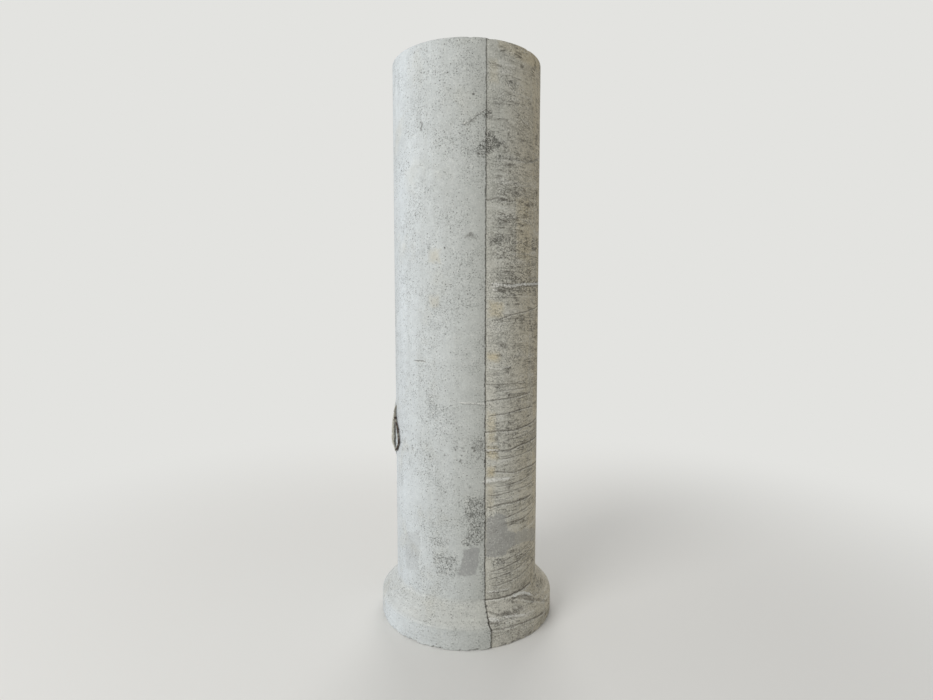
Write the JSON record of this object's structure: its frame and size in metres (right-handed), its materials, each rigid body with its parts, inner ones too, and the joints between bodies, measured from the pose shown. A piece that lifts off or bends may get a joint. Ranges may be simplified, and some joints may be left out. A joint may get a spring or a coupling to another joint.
{
  "type": "concrete culvert pipe",
  "caption": "Reinforced concrete culvert pipe with a bell and a spigot, standing on its bell, with a bent steel lifting loop cast into its side.",
  "frame": {"origin": "on the pipe's axis, in the plane of the bell's face, which is on the floor", "axes": "+Z is the pipe's axis, up from the bell to the spigot; -X is the side with the lifting loop; the mould seams are at -Y and +Y"},
  "size_m": [1.6677, 1.668, 5.16],
  "materials": {
    "concrete": "weathered precast concrete, pale grey on the half with the loop, stained beige and streaked on the other half",
    "loop_steel": "hot-rolled steel bar with rust and a film of cement"
  },
  "bodies": {
    "root": {"pipe": "concrete", "lifting_loop": "loop_steel"}
  },
  "joints": []
}
